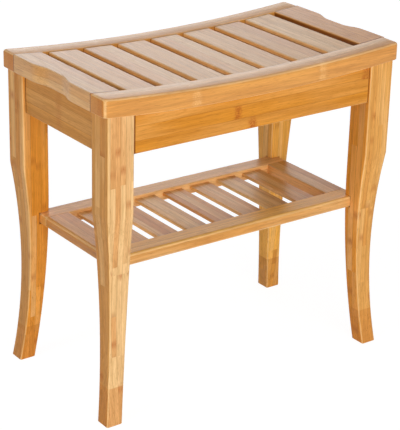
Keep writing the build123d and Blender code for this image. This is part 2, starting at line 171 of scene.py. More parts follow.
# Seat rails
NEAR = 0.0001  # edges that lie this near to a face of the straight rail are on it
MOSTLY = 0.9  # an edge with this share of its direction along an axis lies along it
RAIL_SLICES = 48
SMOOTH_ANGLE = 35.0  # degrees

# Stage
WHITE = (1.0, 1.0, 1.0, 1.0)
FLOOR_SIZE = 12.0
FLOOR_DROP = 0.0002  # how far the floor lies below the feet
FLOOR_GLOW = 1.16
GLOW_SHARE = 0.8  # share of the floor that glows where it is seen, the rest takes shadows
LAMP_AIM = Vector((0.0, 0.0, 0.3))  # all lamps point here
LAMP_DISTANCE = 2.5  # from there to each lamp
CAMERA_PLACE = (-1.1997, -1.63942, 1.0517)
CAMERA_TILT = 22.6139  # degrees below level
CAMERA_TURN = -36.2156  # degrees from straight ahead, negative to the right
CAMERA_ROLL = 1.4872  # degrees
CAMERA_LENS = 132.736  # millimetres, as is the next
SENSOR_WIDTH = 36.0
CAMERA_NEAREST = 0.05
CAMERA_FURTHEST = 50.0


def colour(name, description, default):
    """A colour property in linear light."""
    return FloatVectorProperty(
        name=name, description=description, default=default, subtype="COLOR", min=0.0, max=1.0
    )


def length(name, description, default):
    """A length property in metres."""
    return FloatProperty(name=name, description=description, default=default, min=0.0, unit="LENGTH")


def power(name, description, default):
    """A power property in watts."""
    return FloatProperty(name=name, description=description, default=default, min=0.0, unit="POWER")


class BambooSettings(bpy.types.PropertyGroup):
    """What all bamboo boards have in common."""

    cream: colour("Cream", "Palest strips", (0.90, 0.58, 0.26))
    caramel: colour("Caramel", "Darkest strips", (0.60, 0.21, 0.03))
    dark_ring: colour("Dark ring", "Dark rings where the culm had its joints", (0.42, 0.10, 0.012))
    pale_ring: colour("Pale ring", "Pale rings where the culm had its joints", (0.95, 0.60, 0.27))
    ring_spacing: length("Ring spacing", "From one ring to the next along a strip", 0.26)
    glue_line: length("Glue line", "Width of the line between two strips", 0.0004)


class SeatSettings(bpy.types.PropertyGroup):
    """Boards of the seat."""

    rail_wood: colour("Rail wood", "Colour of the seat rails' upright faces", (0.68, 0.30, 0.055))
    rail_top_wood: colour("Rail top wood", "Colour of the seat rails' tops", (0.74, 0.34, 0.075))
    left_end_wood: colour("Left end wood", "Colour of the left end piece", (0.62, 0.29, 0.07))
    right_end_wood: colour("Right end wood", "Colour of the right end piece", (0.68, 0.27, 0.04))
    slat_wood: colour("Slat wood", "Colour of the slats", (0.68, 0.32, 0.08))
    # painted light: the slats' narrow sides, seen in the gaps, are coloured brighter than their tops
    edge_wood: colour("Edge wood", "Colour of the slats' narrow sides", (0.95, 0.48, 0.15))
    apron_wood: colour("Long apron wood", "Colour of the long aprons", (0.62, 0.235, 0.02))
    side_apron_wood: colour("Side apron wood", "Colour of the side aprons", (0.60, 0.26, 0.05))
    tenon: length("Tenon", "Length of the slats' tenons, inside the rails", 0.009)
    # painted shade low on the slats' sides, seen in the gaps between them
    dark_below: length("Dark below", "Depth below the top where the slats' sides turn dark", 0.0035)
    rail_height: length("Rail height", "Height of the rails at any place along them", 0.024)
    corner_radius: length("Corner radius", "Radius of the seat's four corners, seen from above", 0.0065)
    rail_edge: length("Rail edge", "Radius of the rails' outer top edges", 0.004)
    rail_lower_edge: length("Lower edge", "Radius of the rails' lower edges", 0.0015)
    rail_inner_edge: length("Inner edge", "Radius of the rails' edges beside the slats", 0.001)


class LegSettings(bpy.types.PropertyGroup):
    """The four legs."""

    # painted light: coloured brighter for leg faces that lie in shade under the seat
    wood: colour(
        "Leg wood", "Colour of the rear left leg and of the front right leg's sides", (0.86, 0.34, 0.042)
    )
    pale_wood: colour("Pale wood", "Colour of the front left leg", (0.79, 0.49, 0.22))
    middle_wood: colour("Middle wood", "Colour of the front right leg", (0.74, 0.36, 0.09))
    # painted light: the rear right leg, in shade under the seat, is coloured brighter
    rear_wood: colour("Rear wood", "Colour of the rear right leg", (1.0, 0.50, 0.09))
    pale_side: colour("Pale side", "Colour of the left legs' sides", (0.65, 0.30, 0.072))
    foot: length("Foot", "Height of the darker wood spliced on as a foot", 0.053)


class ShelfSettings(bpy.types.PropertyGroup):
    """Boards of the shelf."""

    frame_wood: colour("Frame wood", "Colour of the end boards", (0.72, 0.32, 0.055))
    # painted shade: the left board's sides are coloured darker for the shade that falls on them
    left_edge_wood: colour("Left edge wood", "Colour of the left board's edges", (0.56, 0.215, 0.032))
    right_edge_wood: colour("Right edge wood", "Colour of the right board's edges", (0.90, 0.35, 0.042))
    # painted light: the front rail's top, in shade under the seat, is coloured brighter
    front_wood: colour("Front rail wood", "Colour of the front shelf rail's top", (1.0, 0.52, 0.086))
    front_edge_wood: colour("Front edge wood", "Colour of the front rail's edges", (0.62, 0.255, 0.040))
    # painted light and sheen: the rear rail is coloured brighter and paler
    rear_wood: colour("Rear rail wood", "Colour of the rear shelf rail", (0.92, 0.51, 0.19))
    slat_wood: colour("Slat wood", "Colour of most shelf slats", (0.78, 0.36, 0.085))
    pale_slat_wood: colour("Pale slat wood", "Colour of every third shelf slat", (0.84, 0.48, 0.16))


class StageSettings(bpy.types.PropertyGroup):
    """Floor and lamps."""

    floor: colour("Floor", "Colour of the floor", (0.9, 0.9, 0.9))
    sky: FloatProperty(
        name="Sky", description="Brightness of the room's light on the bench", default=0.26, min=0.0
    )
    key_power: power("Key power", "Power of the key lamp", 44.0)
    side_power: power("Side power", "Power of the lamp on the left", 14.0)
    rear_power: power("Rear power", "Power of the lamp behind", 6.0)


class BenchSettings(bpy.types.PropertyGroup):
    """All settings of the bench."""

    bamboo: PointerProperty(type=BambooSettings)
    seat: PointerProperty(type=SeatSettings)
    legs: PointerProperty(type=LegSettings)
    shelf: PointerProperty(type=ShelfSettings)
    stage: PointerProperty(type=StageSettings)


class Wiring:
    """Adds nodes to one node tree. An input takes a number, a tuple or another node's output."""

    def __init__(self, tree):
        self.tree = tree

    def feed(self, socket, value):
        if isinstance(value, bpy.types.NodeSocket):
            self.tree.links.new(value, socket)
        else:
            socket.default_value = value

    def add(self, kind, inputs=None, **options):
        node = self.tree.nodes.new(kind)
        for option, value in options.items():
            setattr(node, option, value)
        for socket, value in (inputs or {}).items():
            self.feed(node.inputs[socket], value)
        return node

    def group(self, build, inputs):
        """The outputs of a shared node group with these inputs."""
        return self.add("ShaderNodeGroup", inputs, node_tree=shared_group(build)).outputs

    def math(self, operation, *values, clamp=False):
        inputs = dict(enumerate(values))
        return self.add("ShaderNodeMath", inputs, operation=operation, use_clamp=clamp).outputs[0]

    def times(self, first, second, clamp=False):
        return self.math("MULTIPLY", first, second, clamp=clamp)

    def scaled(self, value, factor, start):
        """The value times factor, plus start."""
        return self.math("MULTIPLY_ADD", value, factor, start)

    def size(self, value):
        """The value without its sign."""
        return self.math("ABSOLUTE", value)

    def distance(self, value, point):
        """How far the value lies from a point, on either side."""
        return self.size(self.math("SUBTRACT", value, point))

    def stretched(self, vector, stretch):
        return self.add("ShaderNodeVectorMath", {0: vector, 1: stretch}, operation="MULTIPLY").outputs[0]

    def fade(self, value, low, high, start=0.0, end=1.0):
        """Goes smoothly from start to end while value goes from low to high."""
        inputs = {"Value": value, "From Min": low, "From Max": high, "To Min": start, "To Max": end}
        return self.add("ShaderNodeMapRange", inputs, interpolation_type="SMOOTHSTEP").outputs["Result"]

    def mix(self, factor, first, second, blend="MIX"):
        """Two colours mixed. A Mix node has sockets for each kind of value, so these go by number."""
        node = self.add("ShaderNodeMix", data_type="RGBA", blend_type=blend)
        for index, value in ((0, factor), (6, first), (7, second)):
            self.feed(node.inputs[index], value)
        return node.outputs[2]

    def noise(self, vector, features, detail=2.0, roughness=0.5, distortion=0.0):
        """Noise with its own number of features per metre along each axis."""
        inputs = {
            "Vector": self.stretched(vector, features),
            "Scale": 1.0,
            "Detail": detail,
            "Roughness": roughness,
            "Distortion": distortion,
        }
        return self.add("ShaderNodeTexNoise", inputs).outputs["Fac"]

    def split(self, vector):
        return self.add("ShaderNodeSeparateXYZ", {0: vector}).outputs

    def join(self, x, y, z):
        return self.add("ShaderNodeCombineXYZ", {0: x, 1: y, 2: z}).outputs[0]


def node_group(name, inputs, outputs):
    """A new shader node group with its wiring, its inputs and its output node."""
    group = bpy.data.node_groups.new(name, "ShaderNodeTree")
    for label, kind in inputs.items():
        group.interface.new_socket(name=label, in_out="INPUT", socket_type=f"NodeSocket{kind}")
    for label, kind in outputs.items():
        group.interface.new_socket(name=label, in_out="OUTPUT", socket_type=f"NodeSocket{kind}")
    wiring = Wiring(group)
    return group, wiring, wiring.add("NodeGroupInput").outputs, wiring.add("NodeGroupOutput").inputs


def laminated_strips():
    """Glued strips: each has its own tone and shift, with a fine line between neighbours.

    Splices is the number of butt joints per metre along each strip. A face that lies along a
    glue line shows none of it, so that line is moved away from there.
    """
    group, wiring, given, result = node_group(
        "Laminated strips",
        {
            "Vector": "Vector",
            "Facing": "Vector",
            "Width": "Float",
            "Depth": "Float",
            "Splices": "Float",
            "Line": "Float",
            "Seed": "Float",
        },
        {"Tone": "Float", "Shift": "Float", "Seam": "Float", "Vector": "Vector"},
    )
    along, across, deep = wiring.split(given["Vector"])
    facing = wiring.split(given["Facing"])
    cells = []
    edges = []
    for place, size, turned in ((across, given["Width"], facing[1]), (deep, given["Depth"], facing[2])):
        count = wiring.math("DIVIDE", place, size)
        cells.append(wiring.math("FLOOR", count))
        from_middle = wiring.distance(wiring.math("FRACT", count), 0.5)
        edge = wiring.times(wiring.math("SUBTRACT", 0.5, from_middle), size)
        moved_away = wiring.math("GREATER_THAN", wiring.size(turned), LINE_FACING)
        edges.append(wiring.math("ADD", edge, moved_away))
    staggered = wiring.scaled(cells[0], STAGGER_ACROSS, along)
    staggered = wiring.scaled(cells[1], STAGGER_DEEP, staggered)
    piece = wiring.math("FLOOR", wiring.times(staggered, given["Splices"]))
    cell = wiring.join(cells[0], cells[1], wiring.scaled(piece, PIECE_STEP, given["Seed"]))
    draw = wiring.add("ShaderNodeTexWhiteNoise", {"Vector": cell}, noise_dimensions="3D")
    drawn = wiring.add("ShaderNodeSeparateColor", {0: draw.outputs["Color"]}).outputs
    nearest_edge = wiring.math("MINIMUM", *edges)
    moved = wiring.join(
        wiring.scaled(drawn[0], SHIFT_ALONG, along),
        wiring.scaled(drawn[1], SHIFT_ACROSS, across),
        wiring.math("ADD", deep, given["Seed"]),
    )
    wiring.feed(result["Tone"], draw.outputs["Value"])
    wiring.feed(result["Shift"], drawn[0])
    wiring.feed(result["Seam"], wiring.fade(nearest_edge, 0.0, given["Line"], 1.0, 0.0))
    wiring.feed(result["Vector"], moved)
    return group


def bamboo_grain():
    """Long soft streaks, fine fibres, sparse dark flecks and broad clouds along X."""
    group, wiring, given, result = node_group(
        "Bamboo grain",
        {"Vector": "Vector"},
        {"Streak": "Float", "Fibre": "Float", "Fleck": "Float", "Cloud": "Float"},
    )
    streak = wiring.noise(given["Vector"], STREAKS, detail=3.0, roughness=0.6, distortion=0.3)
    wiring.feed(result["Streak"], wiring.fade(streak, *GRAIN_RANGE))
    fibre = wiring.noise(given["Vector"], FIBRES, roughness=0.6)
    wiring.feed(result["Fibre"], wiring.fade(fibre, *GRAIN_RANGE))
    fleck = wiring.noise(given["Vector"], FLECKS, detail=1.0)
    wiring.feed(result["Fleck"], wiring.fade(fleck, *FLECK_RANGE))
    cloud = wiring.noise(given["Vector"], CLOUDS)
    wiring.feed(result["Cloud"], wiring.fade(cloud, *GRAIN_RANGE))
    return group


def culm_rings():
    """Where a strip crosses a joint of the culm: a thin ridge in a broader band."""
    group, wiring, given, result = node_group(
        "Culm rings",
        {"Vector": "Vector", "Shift": "Float", "Spacing": "Float"},
        {"Ridge": "Float", "Band": "Float"},
    )
    along = wiring.split(given["Vector"])[0]
    wave = wiring.noise(given["Vector"], RING_WAVES, detail=1.0)
    strayed = wiring.scaled(wave, RING_WAVE, along)
    turns = wiring.math("ADD", wiring.math("DIVIDE", strayed, given["Spacing"]), given["Shift"])
    from_ring = wiring.distance(wiring.math("FRACT", turns), 0.5)
    distance = wiring.times(from_ring, given["Spacing"])
    wiring.feed(result["Ridge"], wiring.fade(distance, 0.0, RIDGE_WIDTH, 1.0, 0.0))
    wiring.feed(result["Band"], wiring.fade(distance, *BAND_EDGE, 1.0, 0.0))
    return group


def wood_colour(wiring, given, facing, strips, grain, rings):
    """The colour of the wood before its shade: strips, feet, rings and a painted highlight on rounded
    edges.
    """
    tone = wiring.scaled(grain["Cloud"], CLOUD_TONE, strips["Tone"])
    pale = wiring.times(wiring.fade(tone, *PALE_TONE), given["Contrast"])
    deep = wiring.times(wiring.fade(tone, *DEEP_TONE), given["Contrast"])
    side = wiring.fade(wiring.size(facing[1]), *SIDE_FACING)
    wood = wiring.mix(side, given["Wood"], given["Side wood"])
    wood = wiring.mix(pale, wood, given["Cream"])
    wood = wiring.mix(deep, wood, given["Caramel"])
    wood = wiring.mix(wiring.times(given["Foot"], FOOT_CARAMEL), wood, given["Caramel"])
    ring = wiring.scaled(rings["Ridge"], RIDGE_STRENGTH, wiring.times(rings["Band"], BAND_STRENGTH))
    ring = wiring.math("MAXIMUM", wiring.times(ring, given["Rings"]), given["Marks"])
    streaky = wiring.scaled(grain["Streak"], *RING_STREAKS)
    wood = wiring.mix(wiring.times(ring, streaky, clamp=True), wood, given["Ring"])
    # Painted highlight: cream on rounded edges, where a face turns between the board's axes
    steepest = wiring.size(facing[0])
    for part in facing[1:]:
        steepest = wiring.math("MAXIMUM", steepest, wiring.size(part))
    rounded = wiring.fade(steepest, *ROUND_HIGHLIGHT_FACING, 0.0, ROUND_EDGE_HIGHLIGHT)
    return wiring.mix(rounded, wood, given["Cream"])


def bamboo_finish():
    """Colour, roughness and height of varnished laminated bamboo, with its grain along X."""
    group, wiring, given, result = node_group(
        "Bamboo finish",
        {
            "Vector": "Vector",
            "Facing": "Vector",
            "Wood": "Color",
            "Side wood": "Color",
            "Cream": "Color",
            "Caramel": "Color",
            "Ring": "Color",
            "Strip width": "Float",
            "Strip depth": "Float",
            "Splices": "Float",
            "Line": "Float",
            "Spacing": "Float",
            "Rings": "Float",
            "Marks": "Float",
            "Painted shade": "Float",
            "Foot": "Float",
            "Contrast": "Float",
            "Seed": "Float",
        },
        {"Color": "Color", "Roughness": "Float", "Height": "Float"},
    )
    strips = wiring.group(
        laminated_strips,
        {
            "Vector": given["Vector"],
            "Facing": given["Facing"],
            "Width": given["Strip width"],
            "Depth": given["Strip depth"],
            "Splices": given["Splices"],
            "Line": given["Line"],
            "Seed": given["Seed"],
        },
    )
    grain = wiring.group(bamboo_grain, {"Vector": strips["Vector"]})
    rings = wiring.group(
        culm_rings, {"Vector": given["Vector"], "Shift": strips["Shift"], "Spacing": given["Spacing"]}
    )
    facing = wiring.split(given["Facing"])
    wood = wood_colour(wiring, given, facing, strips, grain, rings)
    masks = {
        "Streak": grain["Streak"],
        "Fibre": grain["Fibre"],
        "Fleck": grain["Fleck"],
        "Seam": strips["Seam"],
        # painted shade: shadow lines at the joints, and the lower sides darker in the gaps
        "Painted shade": given["Painted shade"],
    }
    shade = 1.0
    for name, mask in masks.items():
        shade = wiring.times(shade, wiring.scaled(mask, *BRIGHTNESS[name]))
    end = wiring.fade(wiring.size(facing[0]), *END_FACING)
    cells = {"Vector": wiring.stretched(given["Vector"], PORES), "Scale": 1.0}
    dots = wiring.add("ShaderNodeTexVoronoi", cells).outputs["Distance"]
    end_shade = wiring.scaled(wiring.fade(dots, *PORE_RANGE), *PORE_BRIGHTNESS)
    shade = wiring.scaled(end, wiring.math("SUBTRACT", end_shade, shade), shade)
    wood = wiring.mix(end, wood, wiring.mix(1.0, wood, END_TINT, "MULTIPLY"))
    green = wiring.math("POWER", shade, GREEN_POWER)
    blue = wiring.math("POWER", shade, BLUE_POWER)
    rough = wiring.scaled(grain["Fibre"], *ROUGHNESS)
    height = wiring.scaled(grain["Fibre"], GRAIN_HEIGHT, wiring.times(grain["Streak"], GRAIN_HEIGHT))
    wiring.feed(result["Color"], wiring.mix(1.0, wood, wiring.join(shade, green, blue), "MULTIPLY"))
    wiring.feed(result["Roughness"], wiring.scaled(end, END_ROUGHNESS, rough))
    wiring.feed(result["Height"], wiring.scaled(strips["Seam"], SEAM_HEIGHT, height))
    return group


groups = {}


def shared_group(build):
    """The node group that a function builds, made once."""
    if build not in groups:
        groups[build] = build()
    return groups[build]


def blank_material(name):
    """A new material with an empty node tree."""
    material = bpy.data.materials.new(name)
    material.use_nodes = True
    material.node_tree.nodes.clear()
    return material, Wiring(material.node_tree)


def ring_marks(wiring, from_corner, along, strip, marks, mark_strength):
    """How strongly each point of a board is marked."""
    strayed = wiring.scaled(wiring.noise(from_corner, MARK_WAVES), MARK_WAVE, along)
    speckle = wiring.noise(from_corner, SPECKLES)
    strength = wiring.fade(speckle, *SPECKLE_RANGE, MARK_LEAST * mark_strength, mark_strength)
    marked = 0.0
    for mark, marked_strip in marks:
        distance = wiring.distance(strayed, mark + MARGIN + MARK_WAVE / 2)
        spot = wiring.times(wiring.fade(distance, *MARK_EDGE, 1.0, 0.0), strength)
        if marked_strip is not None:
            spot = wiring.times(spot, wiring.math("COMPARE", strip, marked_strip, SAME))
        marked = wiring.math("MAXIMUM", marked, spot)
    return marked


def joint_shadow_lines(wiring, along, board_length, joint):
    """Painted shadow lines at a board's ends, each up to a joint that lies this far from its end."""
    half = board_length / 2
    from_middle = wiring.distance(along, half + MARGIN)
    start, full = [half - joint - before for before in JOINT_SHADOW_EDGE]
    return wiring.fade(from_middle, start, full)


def painted_side_shade(wiring, node, height, across_bench, dark_below, dark_within):
    """Painted shade on the lower part of a board, from dark_below under the top of its left side down."""
    low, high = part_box(node)
    corners = [corner.co for corner in nodes[node].data.vertices]
    left_top = max(corner.z for corner in corners if corner.x < low.x + LEFT_REACH)
    depth = wiring.math("SUBTRACT", left_top - low.z + MARGIN, height)
    inside = wiring.math("LESS_THAN", wiring.size(across_bench), dark_within)
    return wiring.times(wiring.fade(depth, dark_below, dark_below + PAINTED_SHADE_FADE), inside)


def bamboo(
    node,
    order,
    wood,
    strips,
    seed,
    contrast=0.4,
    side_wood=None,
    ring="dark_ring",
    rings=1.0,
    marks=(),
    mark_strength=0.2,
    splices=0.0,
    joint=None,
    dark_below=None,
    dark_within=1.0,
    foot=0.0,
    coat=0.0,
    shine=0.25,
):
    """Bamboo for one board, glued up from strips.

    order names the axes along the grain, across it and into the depth. side_wood is the colour
    of the faces turned across the grain. strips counts the strips across and into the depth. The
    outermost ones reach past the board by MARGIN, so that no glue line lies in its surface.
    contrast is how far they differ. Each strip has its own rings, rings times as strong as usual,
    unless marks gives all rings, each as its place along the board, from its low end, and the
    number of its strip, or None for all strips. ring names the rings' colour. splices counts the
    butt joints per metre. joint is how far a joint lies from each end of the board, which gets a
    painted shadow line up to there. The sides get painted shade from dark_below under the top
    down, where they lie nearer to the middle of the bench than dark_within. foot is the height of
    the darker wood at a foot.
    """
    look = bpy.context.scene.bench.bamboo
    material, wiring = blank_material(f"Bamboo {node}")
    low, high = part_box(node)
    board_length, width, depth = [(high - low)["XYZ".index(axis)] for axis in order]
    strip_width = (width + 2 * MARGIN) / strips[0]
    strip_depth = (depth + 2 * MARGIN) / strips[1]
    coordinates = wiring.add("ShaderNodeTexCoord").outputs
    from_corner = wiring.add(
        "ShaderNodeMapping",
        {"Vector": coordinates["Object"], "Location": [MARGIN - value for value in low]},
    ).outputs[0]
    place = wiring.split(from_corner)
    facing = wiring.split(coordinates["Normal"])
    along, across = place[order[0]], place[order[1]]
    marked = 0.0
    if marks:
        strip = wiring.math("FLOOR", wiring.math("DIVIDE", across, strip_width))
        marked = ring_marks(wiring, from_corner, along, strip, marks, mark_strength)
    # Painted shade: shadow lines at the joints, and the lower sides darker in the gaps
    dark = 0.0
    if joint is not None:
        dark = joint_shadow_lines(wiring, along, board_length, joint)
    if dark_below is not None:
        across_bench = wiring.split(coordinates["Object"])[X]
        sides = painted_side_shade(wiring, node, place[Z], across_bench, dark_below, dark_within)
        dark = wiring.math("MAXIMUM", dark, sides)
    foot_top = foot + MARGIN
    finish = wiring.group(
        bamboo_finish,
        {
            "Vector": wiring.join(*[place[axis] for axis in order]),
            "Facing": wiring.join(*[facing[axis] for axis in order]),
            "Wood": (*wood, 1.0),
            "Side wood": (*(side_wood or wood), 1.0),
            "Cream": (*look.cream, 1.0),
            "Caramel": (*look.caramel, 1.0),
            "Ring": (*getattr(look, ring), 1.0),
            "Strip width": strip_width,
            "Strip depth": strip_depth,
            "Splices": splices,
            "Line": look.glue_line,
            "Spacing": NO_RINGS if marks else look.ring_spacing,
            "Rings": rings,
            "Marks": marked,
            "Painted shade": dark,
            "Foot": wiring.fade(place[Z], foot_top - FOOT_EDGE, foot_top + FOOT_EDGE, 1.0, 0.0),
            "Contrast": contrast,
            "Seed": seed,
        },
    )
    bump = wiring.add(
        "ShaderNodeBump",
        {"Strength": BUMP_STRENGTH, "Distance": BUMP_DISTANCE, "Height": finish["Height"]},
    )
    shader = wiring.add(
        "ShaderNodeBsdfPrincipled",
        {
            "Base Color": finish["Color"],
            "Roughness": finish["Roughness"],
            "Specular IOR Level": shine,
            "Coat Weight": coat,
            "Coat Roughness": COAT_ROUGHNESS,
            "Normal": bump.outputs[0],
        },
    )
    wiring.add("ShaderNodeOutputMaterial", {"Surface": shader.outputs[0]})
    return material


def brushed_steel():
    """Brushed zinc-plated steel."""
    material, wiring = blank_material("Brushed steel")
    place = wiring.add("ShaderNodeTexCoord").outputs["Object"]
    brushing = wiring.noise(place, BRUSHING)
    shader = wiring.add(
        "ShaderNodeBsdfPrincipled",
        {
            "Base Color": wiring.mix(brushing, DARK_STEEL, PALE_STEEL),
            "Metallic": 1.0,
            "Roughness": wiring.fade(brushing, *STEEL_RANGE, *STEEL_ROUGHNESS),
        },
    )
    wiring.add("ShaderNodeOutputMaterial", {"Surface": shader.outputs[0]})
    return material


def names_of(prefix):
    """The frame's nodes whose names start with prefix, in order."""
    return sorted(name for name in nodes if name.startswith(prefix))


def dress(name, material):
    """Gives a node of the frame its material."""
    mesh = nodes[name].data
    mesh.materials.clear()
    mesh.materials.append(material)


def edit_edges(piece, chosen, operation, **values):
    """Runs an edit-mode operator on the edges that chosen accepts, given their middle and direction."""
    bpy.ops.object.mode_set(mode="EDIT")
    bpy.ops.mesh.select_mode(type="EDGE")
    bpy.ops.mesh.select_all(action="DESELECT")
    shape = bmesh.from_edit_mesh(piece.data)
    for edge in shape.edges:
        start, end = [corner.co for corner in edge.verts]
        edge.select_set(chosen((start + end) / 2, (end - start).normalized()))
    shape.select_flush_mode()
    bmesh.update_edit_mesh(piece.data)
    operation(**values)
    bpy.ops.object.mode_set(mode="OBJECT")


def seat_rail(name, outwards):
    """A seat rail: a straight board with its edges rounded, then bent to the seat's sag."""
    seat = bpy.context.scene.bench.seat
    low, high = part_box(name)
    top = low.z + seat.rail_height
    outer, inner = (high.y, low.y) if outwards > 0 else (low.y, high.y)
    bpy.ops.object.select_all(action="DESELECT")
    bpy.ops.mesh.primitive_cube_add(
        size=1.0,
        location=(0.0, (low.y + high.y) / 2, (low.z + top) / 2),
        scale=(high.x - low.x, high.y - low.y, seat.rail_height),
    )
    rail = bpy.context.object
    rail.name = name.replace("seat_", "")
    bpy.ops.object.transform_apply(location=True, rotation=True, scale=True)

    def corner_edges(middle, along):
        return abs(along.z) > MOSTLY and abs(middle.y - outer) < NEAR

    def outline_at(z):
        return lambda middle, along: abs(middle.z - z) < NEAR and abs(middle.y - inner) > NEAR

    def inner_edges(middle, along):
        return abs(along.x) > MOSTLY and abs(middle.y - inner) < NEAR

    bevel = bpy.ops.mesh.bevel
    edit_edges(rail, corner_edges, bevel, offset=seat.corner_radius, segments=8)
    edit_edges(rail, outline_at(top), bevel, offset=seat.rail_edge, segments=5)
    edit_edges(rail, outline_at(low.z), bevel, offset=seat.rail_lower_edge, segments=3)
    edit_edges(rail, inner_edges, bevel, offset=seat.rail_inner_edge, segments=3)
    bend(rail, high.z - top)
    bpy.ops.object.shade_smooth_by_angle(angle=radians(SMOOTH_ANGLE))
    return rail


def bend(rail, sag):
    """Bends a straight rail to one arc, level in its middle and sag higher at its ends."""
    half = max(corner.co.x for corner in rail.data.vertices)
    radius = (half**2 + sag**2) / (2 * sag)
    bpy.ops.object.mode_set(mode="EDIT")
    for cut in range(1, RAIL_SLICES):
        x = half * (2 * cut / RAIL_SLICES - 1)
        bpy.ops.mesh.select_all(action="SELECT")
        bpy.ops.mesh.bisect(plane_co=(x, 0.0, 0.0), plane_no=(1.0, 0.0, 0.0))
    bpy.ops.object.mode_set(mode="OBJECT")
    for corner in rail.data.vertices:
        corner.co.z += radius - sqrt(radius**2 - corner.co.x**2)


class BENCH_OT_seat_frame(bpy.types.Operator):
    """Models the two seat rails, and finishes them and the two end pieces"""

    bl_idname = "bench.seat_frame"
    bl_label = "Seat frame"

    def execute(self, context):
        seat = context.scene.bench.seat
        outwards = {"seat_rail_front": -1, "seat_rail_rear": 1}
        for seed, name in enumerate(outwards, start=SEEDS["seat rails"]):
            rail = seat_rail(name, outwards[name])
            rail_wood = bamboo(
                name,
                ALONG_X,
                seat.rail_wood,
                strips=(1, 2),
                seed=seed,
                contrast=0.3,
                side_wood=seat.rail_top_wood,
                ring="pale_ring",
                marks=((0.137, None), (0.339, None)),
                mark_strength=0.35,
                coat=0.25,
                shine=0.5,
            )
            rail.data.materials.append(rail_wood)
            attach(rail, "root")
            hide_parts(name)
        ends = {"seat_end_left": seat.left_end_wood, "seat_end_right": seat.right_end_wood}
        for seed, (name, wood) in enumerate(ends.items(), start=SEEDS["seat ends"]):
            inner_face = min(abs(corner.x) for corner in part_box(name))
            # Painted shade: shadow lines at the joints with the rails, and the inner side darker below the
            # top
            end_wood = bamboo(
                name,
                ALONG_Y,
                wood,
                strips=(2, 2),
                seed=seed,
                joint=0.0,
                dark_below=END_PAINTED_SHADE_DEPTH,
                dark_within=inner_face + INNER_REACH,
                coat=0.3,
                shine=0.5,
            )
            dress(name, end_wood)
        return {"FINISHED"}


class BENCH_OT_seat_slats(bpy.types.Operator):
    """Finishes the seat slats"""

    bl_idname = "bench.seat_slats"
    bl_label = "Seat slats"

    def execute(self, context):
        seat = context.scene.bench.seat
        for seed, name in enumerate(names_of("seat_slat_"), start=SEEDS["seat slats"]):
            slat_wood = bamboo(
                name,
                ALONG_Y,
                seat.slat_wood,
                strips=(2, 1),
                seed=seed,
                contrast=0.45,
                # painted light on the slats' narrow sides in the gaps
                side_wood=seat.edge_wood,
                # painted shadow lines at the tenons' joints, and painted shade low on the sides in the gaps
                joint=seat.tenon,
                dark_below=seat.dark_below,
                coat=0.3,
                shine=0.5,
            )
            dress(name, slat_wood)
        return {"FINISHED"}


class BENCH_OT_aprons(bpy.types.Operator):
    """Finishes the four aprons"""

    bl_idname = "bench.aprons"
    bl_label = "Aprons"

    def execute(self, context):
        seat = context.scene.bench.seat
        marks = {
            "apron_front": ((0.158, 1), (0.182, 0), (0.372, 2)),
            "apron_rear": ((0.078, 0), (0.208, 2), (0.328, 1)),
            "apron_left": ((0.083, None),),
            "apron_right": ((0.108, 0),),
        }
        long_boards = ("apron_front", "apron_rear")
        for seed, name in enumerate(marks, start=SEEDS["aprons"]):
            is_long = name in long_boards
            apron_wood = bamboo(
                name,
                ALONG_X if is_long else SIDE_BOARD,
                seat.apron_wood if is_long else seat.side_apron_wood,
                strips=(3, 1),
                seed=seed,
                contrast=0.25 if is_long else 0.12,
                marks=marks[name],
                mark_strength=0.9 if is_long else 0.4,
                # painted shadow lines at the joints with the legs
                joint=0.0,
                shine=0.15,
            )
            dress(name, apron_wood)
        return {"FINISHED"}


class BENCH_OT_legs(bpy.types.Operator):
    """Finishes the four sabre legs"""

    bl_idname = "bench.legs"
    bl_label = "Legs"

    def execute(self, context):
        legs = context.scene.bench.legs
        # The rear legs and the front right leg's sides carry painted light for the shade under the seat
        woods = {
            "leg_front_left": (legs.pale_wood, legs.pale_side),
            "leg_front_right": (legs.middle_wood, legs.wood),
            "leg_rear_left": (legs.wood, legs.pale_side),
            "leg_rear_right": (legs.rear_wood, legs.rear_wood),
        }
        for seed, (name, (wood, side_wood)) in enumerate(woods.items(), start=SEEDS["legs"]):
            leg_wood = bamboo(
                name,
                UPRIGHT,
                wood,
                strips=(6, 4),
                seed=seed,
                contrast=0.5,
                side_wood=side_wood,
                rings=2.5,
                splices=4.5,
                foot=legs.foot,
                shine=0.15,
            )
            dress(name, leg_wood)
        return {"FINISHED"}


